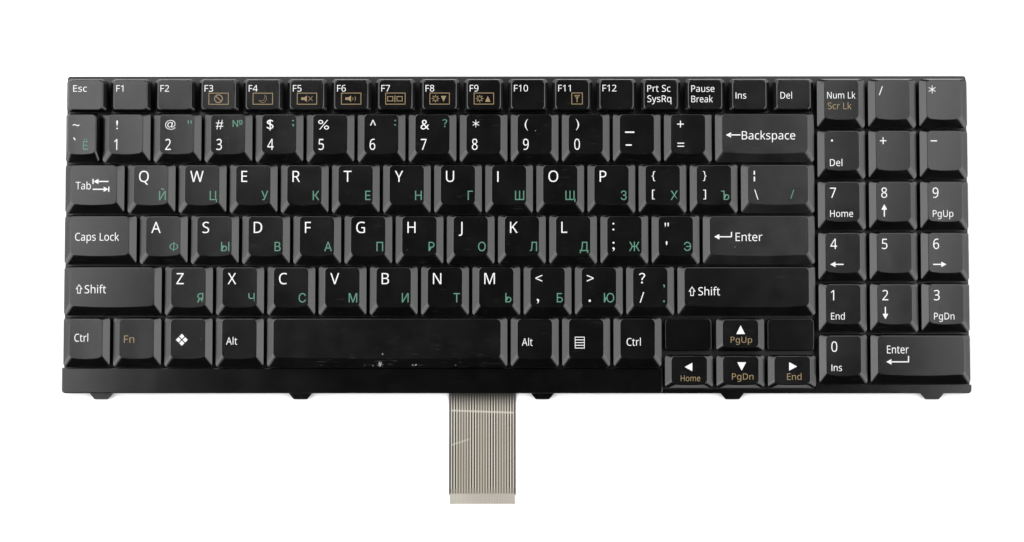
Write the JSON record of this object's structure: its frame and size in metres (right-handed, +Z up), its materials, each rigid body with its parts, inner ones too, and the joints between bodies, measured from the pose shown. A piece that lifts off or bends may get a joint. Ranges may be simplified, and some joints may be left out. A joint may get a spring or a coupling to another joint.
{
  "type": "laptop keyboard",
  "caption": "Full-size black laptop replacement keyboard with a number pad: sloped keycaps on scissor links over a steel plate, a front frame with tabs, and a striped ribbon tail.",
  "frame": {"origin": "centre of the base plate's underside, halfway along the keyboard's width and depth without its tail", "axes": "+X to the typist's right, +Y to the back (the function row), +Z up out of the keys"},
  "size_m": [0.3376, 0.1598, 0.0072],
  "materials": {
    "keycap_black": "fine texture, satin",
    "frame_black": "fine texture, matt",
    "plate_black": "black paint on steel sheet",
    "film": "printed polyester film",
    "dome_rubber": "translucent silicone",
    "link_white": "natural moulded",
    "wire_steel": "drawn wire"
  },
  "bodies": {
    "base": {"base_plate": "plate_black", "switch_membrane": "film", "rubber_domes": "dome_rubber", "scissor_outer_links": "link_white", "scissor_inner_links": "link_white", "front_frame": "frame_black", "filler_plates": "frame_black", "number_pad_keycaps": "keycap_black", "function_and_control_keycaps": "keycap_black"},
    "space_bar_wire": {"space_bar_wire": "wire_steel"},
    "key_grave": {"key_grave": "keycap_black"},
    "key_1": {"key_1": "keycap_black"},
    "key_2": {"key_2": "keycap_black"},
    "key_3": {"key_3": "keycap_black"},
    "key_4": {"key_4": "keycap_black"},
    "key_5": {"key_5": "keycap_black"},
    "key_6": {"key_6": "keycap_black"},
    "key_7": {"key_7": "keycap_black"},
    "key_8": {"key_8": "keycap_black"},
    "key_9": {"key_9": "keycap_black"},
    "key_0": {"key_0": "keycap_black"},
    "key_minus": {"key_minus": "keycap_black"},
    "key_equals": {"key_equals": "keycap_black"},
    "key_backspace": {"key_backspace": "keycap_black"},
    "key_q": {"key_q": "keycap_black"},
    "key_w": {"key_w": "keycap_black"},
    "key_e": {"key_e": "keycap_black"},
    "key_r": {"key_r": "keycap_black"},
    "key_t": {"key_t": "keycap_black"},
    "key_y": {"key_y": "keycap_black"},
    "key_u": {"key_u": "keycap_black"},
    "key_i": {"key_i": "keycap_black"},
    "key_o": {"key_o": "keycap_black"},
    "key_p": {"key_p": "keycap_black"},
    "key_left_bracket": {"key_left_bracket": "keycap_black"},
    "key_right_bracket": {"key_right_bracket": "keycap_black"},
    "key_backslash": {"key_backslash": "keycap_black"},
    "key_a": {"key_a": "keycap_black"},
    "key_s": {"key_s": "keycap_black"},
    "key_d": {"key_d": "keycap_black"},
    "key_f": {"key_f": "keycap_black"},
    "key_g": {"key_g": "keycap_black"},
    "key_h": {"key_h": "keycap_black"},
    "key_j": {"key_j": "keycap_black"},
    "key_k": {"key_k": "keycap_black"},
    "key_l": {"key_l": "keycap_black"},
    "key_semicolon": {"key_semicolon": "keycap_black"},
    "key_quote": {"key_quote": "keycap_black"},
    "key_enter": {"key_enter": "keycap_black"},
    "key_z": {"key_z": "keycap_black"},
    "key_x": {"key_x": "keycap_black"},
    "key_c": {"key_c": "keycap_black"},
    "key_v": {"key_v": "keycap_black"},
    "key_b": {"key_b": "keycap_black"},
    "key_n": {"key_n": "keycap_black"},
    "key_m": {"key_m": "keycap_black"},
    "key_comma": {"key_comma": "keycap_black"},
    "key_period": {"key_period": "keycap_black"},
    "key_slash": {"key_slash": "keycap_black"},
    "key_space": {"key_space": "keycap_black"}
  },
  "joints": [
    {"name": "key_space_press", "type": "slide", "parent": "base", "child": "key_space", "axis": [0, 0, -1], "range_m": [0, 0.0025], "stiffness_N_per_m": 150, "springref_m": -0.002, "deforming": ["rubber_domes", "scissor_outer_links", "scissor_inner_links"]},
    {"name": "space_bar_wire_tilt", "type": "hinge", "parent": "base", "child": "space_bar_wire", "pos_m": [-0.05015, -0.04518, 0.00145], "axis": [-1, 0, 0], "range_deg": [0, 13.4]},
    {"name": "key_enter_press", "type": "slide", "parent": "base", "child": "key_enter", "axis": [0, 0, -1], "range_m": [0, 0.0025], "stiffness_N_per_m": 150, "springref_m": -0.002},
    {"name": "key_backspace_press", "type": "slide", "parent": "base", "child": "key_backspace", "axis": [0, 0, -1], "range_m": [0, 0.0025], "stiffness_N_per_m": 150, "springref_m": -0.002},
    {"name": "key_grave_press", "type": "slide", "parent": "base", "child": "key_grave", "axis": [0, 0, -1], "range_m": [0, 0.0025], "stiffness_N_per_m": 150, "springref_m": -0.002},
    {"name": "key_1_press", "type": "slide", "parent": "base", "child": "key_1", "axis": [0, 0, -1], "range_m": [0, 0.0025], "stiffness_N_per_m": 150, "springref_m": -0.002},
    {"name": "key_2_press", "type": "slide", "parent": "base", "child": "key_2", "axis": [0, 0, -1], "range_m": [0, 0.0025], "stiffness_N_per_m": 150, "springref_m": -0.002},
    {"name": "key_3_press", "type": "slide", "parent": "base", "child": "key_3", "axis": [0, 0, -1], "range_m": [0, 0.0025], "stiffness_N_per_m": 150, "springref_m": -0.002},
    {"name": "key_4_press", "type": "slide", "parent": "base", "child": "key_4", "axis": [0, 0, -1], "range_m": [0, 0.0025], "stiffness_N_per_m": 150, "springref_m": -0.002},
    {"name": "key_5_press", "type": "slide", "parent": "base", "child": "key_5", "axis": [0, 0, -1], "range_m": [0, 0.0025], "stiffness_N_per_m": 150, "springref_m": -0.002},
    {"name": "key_6_press", "type": "slide", "parent": "base", "child": "key_6", "axis": [0, 0, -1], "range_m": [0, 0.0025], "stiffness_N_per_m": 150, "springref_m": -0.002},
    {"name": "key_7_press", "type": "slide", "parent": "base", "child": "key_7", "axis": [0, 0, -1], "range_m": [0, 0.0025], "stiffness_N_per_m": 150, "springref_m": -0.002},
    {"name": "key_8_press", "type": "slide", "parent": "base", "child": "key_8", "axis": [0, 0, -1], "range_m": [0, 0.0025], "stiffness_N_per_m": 150, "springref_m": -0.002},
    {"name": "key_9_press", "type": "slide", "parent": "base", "child": "key_9", "axis": [0, 0, -1], "range_m": [0, 0.0025], "stiffness_N_per_m": 150, "springref_m": -0.002},
    {"name": "key_0_press", "type": "slide", "parent": "base", "child": "key_0", "axis": [0, 0, -1], "range_m": [0, 0.0025], "stiffness_N_per_m": 150, "springref_m": -0.002},
    {"name": "key_minus_press", "type": "slide", "parent": "base", "child": "key_minus", "axis": [0, 0, -1], "range_m": [0, 0.0025], "stiffness_N_per_m": 150, "springref_m": -0.002},
    {"name": "key_equals_press", "type": "slide", "parent": "base", "child": "key_equals", "axis": [0, 0, -1], "range_m": [0, 0.0025], "stiffness_N_per_m": 150, "springref_m": -0.002},
    {"name": "key_q_press", "type": "slide", "parent": "base", "child": "key_q", "axis": [0, 0, -1], "range_m": [0, 0.0025], "stiffness_N_per_m": 150, "springref_m": -0.002},
    {"name": "key_w_press", "type": "slide", "parent": "base", "child": "key_w", "axis": [0, 0, -1], "range_m": [0, 0.0025], "stiffness_N_per_m": 150, "springref_m": -0.002},
    {"name": "key_e_press", "type": "slide", "parent": "base", "child": "key_e", "axis": [0, 0, -1], "range_m": [0, 0.0025], "stiffness_N_per_m": 150, "springref_m": -0.002},
    {"name": "key_r_press", "type": "slide", "parent": "base", "child": "key_r", "axis": [0, 0, -1], "range_m": [0, 0.0025], "stiffness_N_per_m": 150, "springref_m": -0.002},
    {"name": "key_t_press", "type": "slide", "parent": "base", "child": "key_t", "axis": [0, 0, -1], "range_m": [0, 0.0025], "stiffness_N_per_m": 150, "springref_m": -0.002},
    {"name": "key_y_press", "type": "slide", "parent": "base", "child": "key_y", "axis": [0, 0, -1], "range_m": [0, 0.0025], "stiffness_N_per_m": 150, "springref_m": -0.002},
    {"name": "key_u_press", "type": "slide", "parent": "base", "child": "key_u", "axis": [0, 0, -1], "range_m": [0, 0.0025], "stiffness_N_per_m": 150, "springref_m": -0.002},
    {"name": "key_i_press", "type": "slide", "parent": "base", "child": "key_i", "axis": [0, 0, -1], "range_m": [0, 0.0025], "stiffness_N_per_m": 150, "springref_m": -0.002},
    {"name": "key_o_press", "type": "slide", "parent": "base", "child": "key_o", "axis": [0, 0, -1], "range_m": [0, 0.0025], "stiffness_N_per_m": 150, "springref_m": -0.002},
    {"name": "key_p_press", "type": "slide", "parent": "base", "child": "key_p", "axis": [0, 0, -1], "range_m": [0, 0.0025], "stiffness_N_per_m": 150, "springref_m": -0.002},
    {"name": "key_left_bracket_press", "type": "slide", "parent": "base", "child": "key_left_bracket", "axis": [0, 0, -1], "range_m": [0, 0.0025], "stiffness_N_per_m": 150, "springref_m": -0.002},
    {"name": "key_right_bracket_press", "type": "slide", "parent": "base", "child": "key_right_bracket", "axis": [0, 0, -1], "range_m": [0, 0.0025], "stiffness_N_per_m": 150, "springref_m": -0.002},
    {"name": "key_backslash_press", "type": "slide", "parent": "base", "child": "key_backslash", "axis": [0, 0, -1], "range_m": [0, 0.0025], "stiffness_N_per_m": 150, "springref_m": -0.002},
    {"name": "key_a_press", "type": "slide", "parent": "base", "child": "key_a", "axis": [0, 0, -1], "range_m": [0, 0.0025], "stiffness_N_per_m": 150, "springref_m": -0.002},
    {"name": "key_s_press", "type": "slide", "parent": "base", "child": "key_s", "axis": [0, 0, -1], "range_m": [0, 0.0025], "stiffness_N_per_m": 150, "springref_m": -0.002},
    {"name": "key_d_press", "type": "slide", "parent": "base", "child": "key_d", "axis": [0, 0, -1], "range_m": [0, 0.0025], "stiffness_N_per_m": 150, "springref_m": -0.002},
    {"name": "key_f_press", "type": "slide", "parent": "base", "child": "key_f", "axis": [0, 0, -1], "range_m": [0, 0.0025], "stiffness_N_per_m": 150, "springref_m": -0.002},
    {"name": "key_g_press", "type": "slide", "parent": "base", "child": "key_g", "axis": [0, 0, -1], "range_m": [0, 0.0025], "stiffness_N_per_m": 150, "springref_m": -0.002},
    {"name": "key_h_press", "type": "slide", "parent": "base", "child": "key_h", "axis": [0, 0, -1], "range_m": [0, 0.0025], "stiffness_N_per_m": 150, "springref_m": -0.002},
    {"name": "key_j_press", "type": "slide", "parent": "base", "child": "key_j", "axis": [0, 0, -1], "range_m": [0, 0.0025], "stiffness_N_per_m": 150, "springref_m": -0.002},
    {"name": "key_k_press", "type": "slide", "parent": "base", "child": "key_k", "axis": [0, 0, -1], "range_m": [0, 0.0025], "stiffness_N_per_m": 150, "springref_m": -0.002},
    {"name": "key_l_press", "type": "slide", "parent": "base", "child": "key_l", "axis": [0, 0, -1], "range_m": [0, 0.0025], "stiffness_N_per_m": 150, "springref_m": -0.002},
    {"name": "key_semicolon_press", "type": "slide", "parent": "base", "child": "key_semicolon", "axis": [0, 0, -1], "range_m": [0, 0.0025], "stiffness_N_per_m": 150, "springref_m": -0.002},
    {"name": "key_quote_press", "type": "slide", "parent": "base", "child": "key_quote", "axis": [0, 0, -1], "range_m": [0, 0.0025], "stiffness_N_per_m": 150, "springref_m": -0.002},
    {"name": "key_z_press", "type": "slide", "parent": "base", "child": "key_z", "axis": [0, 0, -1], "range_m": [0, 0.0025], "stiffness_N_per_m": 150, "springref_m": -0.002},
    {"name": "key_x_press", "type": "slide", "parent": "base", "child": "key_x", "axis": [0, 0, -1], "range_m": [0, 0.0025], "stiffness_N_per_m": 150, "springref_m": -0.002},
    {"name": "key_c_press", "type": "slide", "parent": "base", "child": "key_c", "axis": [0, 0, -1], "range_m": [0, 0.0025], "stiffness_N_per_m": 150, "springref_m": -0.002},
    {"name": "key_v_press", "type": "slide", "parent": "base", "child": "key_v", "axis": [0, 0, -1], "range_m": [0, 0.0025], "stiffness_N_per_m": 150, "springref_m": -0.002},
    {"name": "key_b_press", "type": "slide", "parent": "base", "child": "key_b", "axis": [0, 0, -1], "range_m": [0, 0.0025], "stiffness_N_per_m": 150, "springref_m": -0.002},
    {"name": "key_n_press", "type": "slide", "parent": "base", "child": "key_n", "axis": [0, 0, -1], "range_m": [0, 0.0025], "stiffness_N_per_m": 150, "springref_m": -0.002},
    {"name": "key_m_press", "type": "slide", "parent": "base", "child": "key_m", "axis": [0, 0, -1], "range_m": [0, 0.0025], "stiffness_N_per_m": 150, "springref_m": -0.002},
    {"name": "key_comma_press", "type": "slide", "parent": "base", "child": "key_comma", "axis": [0, 0, -1], "range_m": [0, 0.0025], "stiffness_N_per_m": 150, "springref_m": -0.002},
    {"name": "key_period_press", "type": "slide", "parent": "base", "child": "key_period", "axis": [0, 0, -1], "range_m": [0, 0.0025], "stiffness_N_per_m": 150, "springref_m": -0.002},
    {"name": "key_slash_press", "type": "slide", "parent": "base", "child": "key_slash", "axis": [0, 0, -1], "range_m": [0, 0.0025], "stiffness_N_per_m": 150, "springref_m": -0.002}
  ],
  "couplings": [
    {"joint": "space_bar_wire_tilt", "follows": "key_space_press", "rad_per_m": 93.1}
  ]
}
